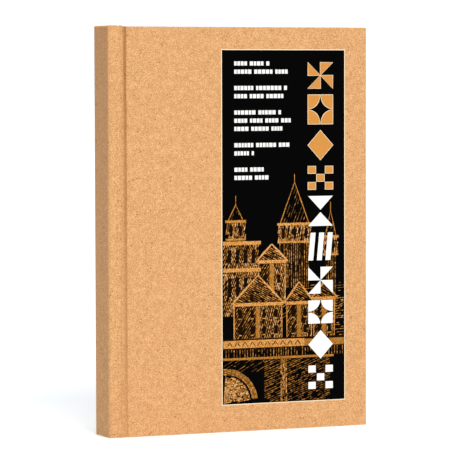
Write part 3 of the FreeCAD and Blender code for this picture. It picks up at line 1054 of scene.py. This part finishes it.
class Print:
    """Flat shapes of ink, each a thin prism on the label's face, never level with the one before."""

    def __init__(self, thickness):
        self.thickness = thickness
        self.shapes = 0
        self.corners = []
        self.faces = []
        self.tones = []

    def shape(self, points, tone=1.0):
        """Print an outline of (across, up) points in metres."""
        start = len(self.corners)
        count = len(points)
        self.shapes += 1
        top = self.thickness + LAYER * (self.shapes % 3) / 3
        self.corners += [label_point(a, u) for a, u in points]
        self.corners += [label_point(a, u, top) for a, u in points]
        self.tones += [tone] * (2 * count)
        self.faces.append(tuple(start + k for k in range(count)))
        self.faces.append(tuple(start + count + k for k in range(count)))
        for k in range(count):
            after = (k + 1) % count
            self.faces.append((start + k, start + after, start + count + after, start + count + k))

    def next_layer(self):
        """Print what follows over everything before it."""
        self.thickness += LAYER

    def bar(self, across, up, wide, tall, tone=1.0):
        """Upright rectangle."""
        right, top = across + wide, up + tall
        self.shape([(across, up), (right, up), (right, top), (across, top)], tone)

    def stroke(self, first, last, wide, tone=1.0):
        """Straight stroke, wider at its middle than at its ends."""
        a, b = np.array(first), np.array(last)
        length = np.linalg.norm(b - a)
        if length < 1e-6:
            return
        aside = np.array([a[1] - b[1], b[0] - a[0]]) / length * wide / 2
        middle = (a + b) / 2
        ends = (a - aside * 0.4, middle - aside, b - aside * 0.4, b + aside * 0.4, middle + aside)
        self.shape([*ends, a + aside * 0.4], tone)

    def piece(self, name, material, slot_name):
        """Make the printed shapes into one piece that rides on the front cover."""
        made = make_piece(name, self.corners, self.faces, [material], self.tones)
        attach(made, "front_cover")


def grown(points, reach):
    """An outline with each corner moved away from its middle."""
    points = np.array(points)
    away = points - points.mean(axis=0)
    return points + away / np.linalg.norm(away, axis=1)[:, None] * reach


def quarter_disc(corner, span, turns):
    """Outline of a quarter disc in a unit tile: its corner, its radius, its first quarter turn."""
    points = [corner]
    for k in range(9):
        turn = math.pi / 2 * (turns + k / 8)
        points.append((corner[0] + span * math.cos(turn), corner[1] + span * math.sin(turn)))
    return points


def ornament(kind):
    """Shapes of one geometric ornament in a unit tile."""
    half = 0.5
    pinwheel = [
        [(half, half), (0, half), (0, 1)], [(half, half), (half, 1), (1, 1)],
        [(half, half), (1, half), (1, 0)], [(half, half), (half, 0), (0, 0)],
    ]
    leaves = [
        quarter_disc((0, 0), 0.48, 0), quarter_disc((1, 1), 0.48, 2),
        quarter_disc((0, 1), 0.48, 3), quarter_disc((1, 0), 0.48, 1),
    ]
    stripes = [
        [(x, 0), (x + 0.2, 0), (x + 0.2 + rise, 1), (x + rise, 1)]
        for x, rise in ((0.0, 0.1), (0.35, 0.1), (0.7, 0.1))
    ]
    diamond = [[(half, 0.0), (1.0, half), (half, 1.0), (0.0, half)]]
    hourglass = [[(0, 0), (1, 0), (half, 0.46)], [(0, 1), (1, 1), (half, 0.54)]]
    checks = [
        [(x, y), (x + 0.3, y), (x + 0.3, y + 0.3), (x, y + 0.3)]
        for x, y in ((0, 0), (0.7, 0), (0.35, 0.35), (0, 0.7), (0.7, 0.7))
    ]
    return (pinwheel, leaves, diamond, checks, hourglass, stripes)[kind % 6]


def print_ornaments(settings):
    """Column of geometric ornaments, amber above and white below, with a pale line round the amber."""
    wide = 14.2 * MM
    inset = 7.2 * MM
    gap = 3.5 * MM
    left = label_high.x - label_low.x - inset - wide
    inks = {name: Print(ORNAMENT_COATS * settings.ink) for name in ("amber", "white")}
    inks["halo"] = Print(HALO_COATS * settings.ink)
    top = 177.35 * MM
    for index, tall in enumerate(ORNAMENT_HEIGHTS):
        tall = tall * MM
        for outline in ornament(index):
            points = [(left + u * wide, top - tall + v * tall) for u, v in outline]
            if index < settings.amber_tiles:
                inks["halo"].shape(grown(points, 0.32 * MM))
            inks["amber" if index < settings.amber_tiles else "white"].shape(points)
        top -= tall + gap
    return inks


def print_small_rows(ink, random):
    """Rows of small blocks in five groups, in place of fine print."""
    row_pitch = 4.22 * MM
    tall = 2.15 * MM
    top = 175.8 * MM
    left = 7.3 * MM
    longest = 32.0 * MM
    letter_gap = 0.42 * MM
    word_gap = 1.2 * MM
    widths = iter((0.62, 0.96, 0.95, 0.89, 0.83, 1.0, 0.87, 0.99, 0.38, 0.54, 0.61))
    row = 0
    for group in (2, 2, 3, 2, 2):
        for _ in range(group):
            reach = next(widths) * longest
            across = 0.0
            word = 0
            while across < reach - 1.0 * MM:
                wide = random.uniform(1.15, 1.95) * MM
                ink.bar(left + across, top - row * row_pitch, min(wide, reach - across), tall)
                across += wide + letter_gap
                word += 1
                if word > random.integers(3, 7):
                    across += word_gap
                    word = 0
            row += 1
        row += 1


def block(left, low, right, high):
    """Outline of a rectangle given in millimetres."""
    return [(x * MM, y * MM) for x, y in ((left, low), (right, low), (right, high), (left, high))]


def hatch(ink, corners, spacing, slant, wide, tone, random, keep=0.9):
    """Fill a convex outline with slanted strokes of uneven length and tone."""
    points = np.array(corners)
    along = np.array([math.cos(slant), math.sin(slant)])
    aside = np.array([-along[1], along[0]])
    reach = points @ aside
    offset = reach.min() + spacing / 2
    while offset < reach.max():
        crossings = []
        for a, b in zip(points, np.roll(points, -1, axis=0)):
            da, db = a @ aside - offset, b @ aside - offset
            if da * db < 0:
                crossings.append((a + (b - a) * da / (da - db)) @ along)
        here, end = (min(crossings), max(crossings)) if crossings else (0, 0)
        while here < end:
            stop = min(here + random.uniform(0.8, 3.2) * MM, end)
            if random.random() < keep:
                shake = random.normal(0, 0.05) * MM
                ink.stroke(
                    along * here + aside * (offset + shake), along * stop + aside * (offset - shake),
                    wide * random.uniform(0.6, 1.1), tone * random.uniform(0.3, 1.9),
                )
            here = stop + random.uniform(0.05, 0.5) * MM
        offset += spacing * random.uniform(0.8, 1.25)


def trace(ink, corners, wide, tone, random):
    """Go over a line of corners, in millimetres, twice with a shaky hand."""
    points = [np.array(c) * MM for c in corners]
    for a, b in zip(points, points[1:]):
        for _ in range(2):
            shake = random.normal(0, 0.10, 4) * MM
            ink.stroke(a + shake[:2], b + shake[2:], wide, tone)


def house(ink, left, low, wide, wall, roof, tone, random):
    """Gabled front in millimetres: hatched wall, bright eaves and roof line, rows of windows."""
    right, eaves, middle = left + wide, low + wall, left + wide / 2
    ridge = (middle, eaves + roof)
    ink.next_layer()
    outline = [(left, low), (right, low), (right, eaves), ridge, (left, eaves)]
    ink.shape([(x * MM, y * MM) for x, y in outline], 0.0)
    ink.next_layer()
    hatch(ink, block(left, low, middle, eaves), 1.12 * MM, 1.0, 0.55 * MM, tone * 0.5, random)
    hatch(ink, block(middle, low, right, eaves), 0.96 * MM, 1.3, 0.65 * MM, tone * 0.8, random)
    gable = [(left * MM, eaves * MM), (right * MM, eaves * MM), (middle * MM, ridge[1] * MM)]
    hatch(ink, gable, 1.02 * MM, -0.5, 0.55 * MM, tone * 0.65, random)
    ink.next_layer()
    trace(ink, [(left - 1.6, eaves), ridge, (right + 1.6, eaves)], 1.1 * MM, tone * 1.1, random)
    ink.shape(block(left - 0.8, eaves - 0.9, right + 0.8, eaves + 0.8), tone)
    ink.shape(block(middle - 1.3, low, middle + 1.1, eaves - 1.2), tone * 0.55)
    trace(ink, [(left, eaves), (left, low), (right, low), (right, eaves)], 0.5 * MM, tone, random)
    ink.next_layer()
    columns, floors = max(1, int(wide / 6.0)), max(1, int(wall / 8.5))
    for i in range(columns):
        for j in range(floors):
            x = left + (i + 0.5) * wide / columns - 0.9 + (1.6 if columns % 2 and i == columns // 2 else 0)
            y = low + 2.2 + j * 8.5
            ink.shape(block(x, y, x + 1.9, y + 4.4), 0.0)
            trace(ink, [(x, y - 0.2), (x + 1.9, y - 0.2)], 0.5 * MM, tone, random)


def tower(ink, left, low, wide, tall, spire, tone, random):
    """Bell tower in millimetres: dim shaft, bright belfry with openings, thin spire."""
    right, top = left + wide, low + tall
    ink.next_layer()
    ink.shape(block(left, low, right, top), 0.0)
    ink.next_layer()
    hatch(ink, block(left, low, right, top - 9), 1.16 * MM, math.pi / 2, 0.49 * MM, tone * 0.6, random)
    hatch(ink, block(left - 1, top - 9, right + 1, top), 0.85 * MM, 1.4, 0.65 * MM, tone, random)
    tip = ((left + right) / 2, top + spire)
    roof = [(left * MM, top * MM), (right * MM, top * MM), (tip[0] * MM, tip[1] * MM)]
    hatch(ink, roof, 1.55 * MM, 1.2, 0.39 * MM, tone * 0.45, random, 0.6)
    trace(ink, [(left, top), tip, (right, top)], 0.4 * MM, tone * 0.8, random)
    ink.bar((tip[0] - 0.15) * MM, tip[1] * MM, 0.3 * MM, 4.5 * MM, tone * 0.8)
    ink.next_layer()
    ink.shape(block(left - 1.4, top - 0.4, right + 1.4, top + 0.9), tone)
    ink.shape(block(left - 1.2, top - 9.6, right + 1.2, top - 8.6), tone * 0.9)
    for x in np.linspace(left + 1.2, right - 2.6, max(2, int(wide / 4.5))):
        ink.shape(block(x, top - 7.4, x + 1.5, top - 2.0), 0.0)


def archway(ink, middle, low, radius, wide, tone, random):
    """Round arch of a bridge in millimetres, drawn stone by stone."""
    turns = np.linspace(0, math.pi, max(8, int(radius * 1.6)))
    for a, b in zip(turns, turns[1:]):
        for reach in np.arange(radius, radius + wide, 0.45):
            first, last = ((middle + reach * math.cos(t), low + reach * math.sin(t)) for t in (a, b))
            if min(first[0], last[0]) > 0.6 and min(first[1], last[1]) > 0.5:
                trace(ink, [first, last], 0.30 * MM, tone * random.uniform(0.4, 1.3), random)


def print_townscape(ink, random):
    """Night view of a waterside town: towers and gabled houses above a quay and its arches."""
    right = (label_high.x - label_low.x) / MM - 0.8
    tower(ink, 33, 60, 17, 33, 22, 1.0, random)
    tower(ink, 3.5, 84, 9, 11, 9, 0.8, random)
    tower(ink, 59, 50, 6.5, 36, 14, 0.9, random)
    hall = block(1, 46, 21, 84)
    ink.next_layer()
    ink.shape(hall, 0.0)
    ink.next_layer()
    hatch(ink, hall, 0.9 * MM, 1.2, 0.66 * MM, 0.8, random)
    house(ink, 21, 52, 15, 22, 9, 1.15, random)
    hatch(ink, block(21, 44, right, 54), 1.24 * MM, 0.4, 0.49 * MM, 0.5, random, 0.6)
    hatch(ink, block(46, 34, right, 62), 1.24 * MM, 0.06, 0.49 * MM, 0.55, random, 0.7)
    for y in (69.0, 83.0):
        ink.shape(block(0.8, y, 22.2, y + 1.9), 1.0)
    for x in (3.5, 8, 12.5, 17):
        ink.shape(block(x, 56, x + 1.9, 66), 0.0)
        ink.shape(block(x, 73.5, x + 1.9, 80.5), 0.0)
    house(ink, 7, 34, 27, 18, 15, 1.0, random)
    house(ink, 37, 34, 14, 18, 11, 0.9, random)
    house(ink, 52.5, 34, 12, 20, 9, 0.9, random)
    ink.next_layer()
    ink.shape(block(0.8, 27, right, 34.2), 0.0)
    ink.next_layer()
    ink.shape(block(0.8, 29.4, 47, 33.4), 0.95)
    ink.shape(block(47, 29.4, right, 33.0), 0.55)
    hatch(ink, block(0.8, 24.5, right, 29), 1.5 * MM, math.pi / 2, 0.52 * MM, 0.5, random, 0.8)
    hatch(ink, block(24, 0.8, right - 8, 23.5), 1.0 * MM, 0.35, 0.50 * MM, 0.34, random, 0.8)
    hatch(ink, block(0.8, 17, 24, 23.5), 1.4 * MM, 0.5, 0.42 * MM, 0.3, random, 0.6)
    ink.next_layer()
    for x in np.arange(3.0, 46, 4.3):
        trace(ink, [(x, 30.2), (x + 1.5, 32.6), (x + 3.0, 30.2)], 0.5 * MM, 0.1, random)
    hatch(ink, block(33, 0.8, 37, 24), 0.8 * MM, math.pi / 2, 0.6 * MM, 0.75, random, 0.9)
    ink.shape(block(0.8, 23.2, right - 6, 24.4), 0.6)
    archway(ink, 2, 0.5, 15.5, 3.0, 0.75, random)
    reach = 14.2 * MM
    for turn in np.linspace(0.12, 1.45, 12):
        rim = [
            (2 * MM + reach * math.cos(t), 0.7 * MM + reach * math.sin(t)) for t in (turn, turn + 0.13)
        ]
        hatch(ink, [(1.0 * MM, 0.8 * MM), *rim], 0.65 * MM, 0.15, 0.75 * MM, 1.0, random, 0.97)


def label_sheet(settings):
    """Printed label: a dark field inside a narrow unprinted margin."""
    edge = settings.margin
    xs = [label_low.x, label_low.x + edge, label_high.x - edge, label_high.x]
    zs = [label_low.z, label_low.z + edge, label_high.z - edge, label_high.z]
    corners = [(x, y, z) for y in (label_low.y, label_high.y) for z in zs for x in xs]
    faces = []
    slots = []
    for layer in (0, 16):
        for row in range(3):
            for column in range(3):
                start = layer + row * 4 + column
                faces.append((start, start + 1, start + 5, start + 4))
                slots.append(1 if layer == 0 and row == column == 1 else 0)
    rim = [0, 1, 2, 3, 7, 11, 15, 14, 13, 12, 8, 4]
    for k, here in enumerate(rim):
        after = rim[(k + 1) % len(rim)]
        faces.append((here, after, after + 16, here + 16))
        slots.append(0)
    materials = [
        ink_finish("label_stock", tuple(settings.stock), vary=0.08, roughness=0.6),
        ink_finish("label_field", tuple(settings.field), vary=0.3, roughness=0.45, specular=0.02),
    ]
    return make_piece("label_sheet", corners, faces, materials, slots=slots)


class SKETCHBOOK_OT_label(bpy.types.Operator):
    """Glue the printed label to the front cover"""

    bl_idname = "sketchbook.label"
    bl_label = "Label"
    bl_options = {"REGISTER", "UNDO"}

    def execute(self, context):
        settings = context.scene.sketchbook_label
        sheet = label_sheet(settings)
        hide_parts("front_label")
        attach(sheet, "front_cover")
        random = np.random.default_rng(11)
        town = Print(settings.ink)
        print_townscape(town, random)
        town.piece("label_townscape", etched_finish("etched_amber", tuple(settings.amber)), "print_amber")
        inks = print_ornaments(settings)
        print_small_rows(inks["white"], random)
        inks["amber"].piece(
            "label_amber_ornaments", ink_finish("amber_ink", tuple(settings.amber)), "print_amber"
        )
        inks["halo"].piece(
            "label_pale_lines", ink_finish("pale_ink", tuple(settings.stock)), "print_amber"
        )
        inks["white"].piece(
            "label_white_print", ink_finish("white_ink", tuple(settings.white)), "print_white"
        )
        return {"FINISHED"}


# ---------------------------------------------------------------- studio

KEY_TOWARDS = (-0.07, -0.80, 0.55)
KEY_SPREAD = 38
TOP_TOWARDS = (0.05, 0.05, 1.0)
TOP_SPREAD = 30
SKY_COLOUR = (0.90, 0.97, 1.06)
FLOOR_SIDE = 30.0
FLOOR_GLOW = 0.33


def make_camera(settings):
    """Camera in front of the book and to its left."""
    data = bpy.data.cameras.new("camera")
    data.lens = settings.lens
    data.sensor_width = 36
    data.shift_x = settings.shift_across
    data.shift_y = settings.shift_up
    data.clip_end = 100
    camera = bpy.data.objects.new("camera", data)
    bpy.context.scene.collection.objects.link(camera)
    camera.location = settings.camera_place
    aim = Euler((math.radians(90 - settings.pitch), 0, -math.radians(settings.yaw)))
    tilt = Matrix.Rotation(math.radians(settings.roll), 3, "Z")
    camera.rotation_euler = (aim.to_matrix() @ tilt).to_euler()
    bpy.context.scene.camera = camera


def make_sun(name, towards, strength, spread, colour):
    """Soft distant light that shines from a direction."""
    data = bpy.data.lights.new(name, "SUN")
    data.energy = strength
    data.angle = math.radians(spread)
    data.color = colour
    light = bpy.data.objects.new(name, data)
    bpy.context.scene.collection.objects.link(light)
    light.rotation_euler = Vector(towards).to_track_quat("Z", "Y").to_euler()


def make_sky(strength):
    """Even pale light, brightest at the horizon and as strong as asked above it."""
    world = bpy.data.worlds.new("studio")
    bpy.context.scene.world = world
    world.use_nodes = True
    tree = world.node_tree
    ground = tree.nodes["Background"]
    place = tree.nodes.new("ShaderNodeTexCoord")
    parts = tree.nodes.new("ShaderNodeSeparateXYZ")
    tree.links.new(place.outputs["Generated"], parts.inputs["Vector"])
    rise = tree.nodes.new("ShaderNodeMapRange")
    tree.links.new(parts.outputs["Z"], rise.inputs["Value"])
    for key, value in (("From Min", 0.10), ("From Max", 0.15), ("To Min", 1.13), ("To Max", strength)):
        rise.inputs[key].default_value = value
    tree.links.new(rise.outputs["Result"], ground.inputs["Strength"])
    ground.inputs["Color"].default_value = (*SKY_COLOUR, 1)


def make_floor():
    """Plain pale table top."""
    corners = [(x * FLOOR_SIDE, y * FLOOR_SIDE, 0) for x, y in ((-1, -1), (1, -1), (1, 1), (-1, 1))]
    finish = Finish("pale_floor", roughness=0.9, specular=0.1)
    finish.colour((0.80, 0.80, 0.80))
    finish.shader.inputs["Emission Color"].default_value = (0.90, 0.97, 1, 1)
    finish.shader.inputs["Emission Strength"].default_value = FLOOR_GLOW
    floor = make_piece("floor", corners, [(0, 1, 2, 3)], [finish.material])
    floor.location.z = -0.02 * MM


class SKETCHBOOK_OT_studio(bpy.types.Operator):
    """Set up the camera, the soft light and the pale floor"""

    bl_idname = "sketchbook.studio"
    bl_label = "Studio"
    bl_options = {"REGISTER", "UNDO"}

    def execute(self, context):
        settings = context.scene.sketchbook_studio
        context.scene.view_settings.view_transform = "Standard"
        make_camera(settings)
        make_sun("key_light", KEY_TOWARDS, settings.key, KEY_SPREAD, (1.0, 0.965, 0.90))
        make_sun("top_light", TOP_TOWARDS, settings.top, TOP_SPREAD, (1.0, 1.0, 1.0))
        make_sky(settings.sky)
        make_floor()
        return {"FINISHED"}


# ---------------------------------------------------------------- panel and registration


class SKETCHBOOK_PT_panel(bpy.types.Panel):
    """Sidebar panel that lists the steps"""

    bl_idname = "SKETCHBOOK_PT_panel"
    bl_label = "Sketchbook"
    bl_space_type = "VIEW_3D"
    bl_region_type = "UI"
    bl_category = "Sketchbook"

    def draw(self, context):
        for operator in OPERATORS:
            self.layout.operator(operator.bl_idname)
        for name, group in SETTINGS.items():
            box = self.layout.box()
            box.label(text=group.bl_rna.name)
            for key in group.__annotations__:
                box.prop(getattr(context.scene, name), key)


SETTINGS = {
    "sketchbook_covering": CoveringSettings,
    "sketchbook_paper": PaperSettings,
    "sketchbook_band": BandSettings,
    "sketchbook_label": LabelSettings,
    "sketchbook_studio": StudioSettings,
}

OPERATORS = (
    SKETCHBOOK_OT_studio,
    SKETCHBOOK_OT_boards,
    SKETCHBOOK_OT_covering,
    SKETCHBOOK_OT_endpapers,
    SKETCHBOOK_OT_sections,
    SKETCHBOOK_OT_bands,
    SKETCHBOOK_OT_label,
)


def register():
    for group in (*SETTINGS.values(), *OPERATORS, SKETCHBOOK_PT_panel):
        bpy.utils.register_class(group)
    for name, group in SETTINGS.items():
        setattr(bpy.types.Scene, name, PointerProperty(type=group))


def unregister():
    for name in SETTINGS:
        delattr(bpy.types.Scene, name)
    for group in reversed((*SETTINGS.values(), *OPERATORS, SKETCHBOOK_PT_panel)):
        bpy.utils.unregister_class(group)


def main():
    """Build the whole sketchbook, one step after another."""
    register()
    bpy.ops.sketchbook.studio()
    bpy.ops.sketchbook.boards()
    bpy.ops.sketchbook.covering()
    bpy.ops.sketchbook.endpapers()
    bpy.ops.sketchbook.sections()
    bpy.ops.sketchbook.bands()
    bpy.ops.sketchbook.label()


if __name__ == "__main__":
    main()
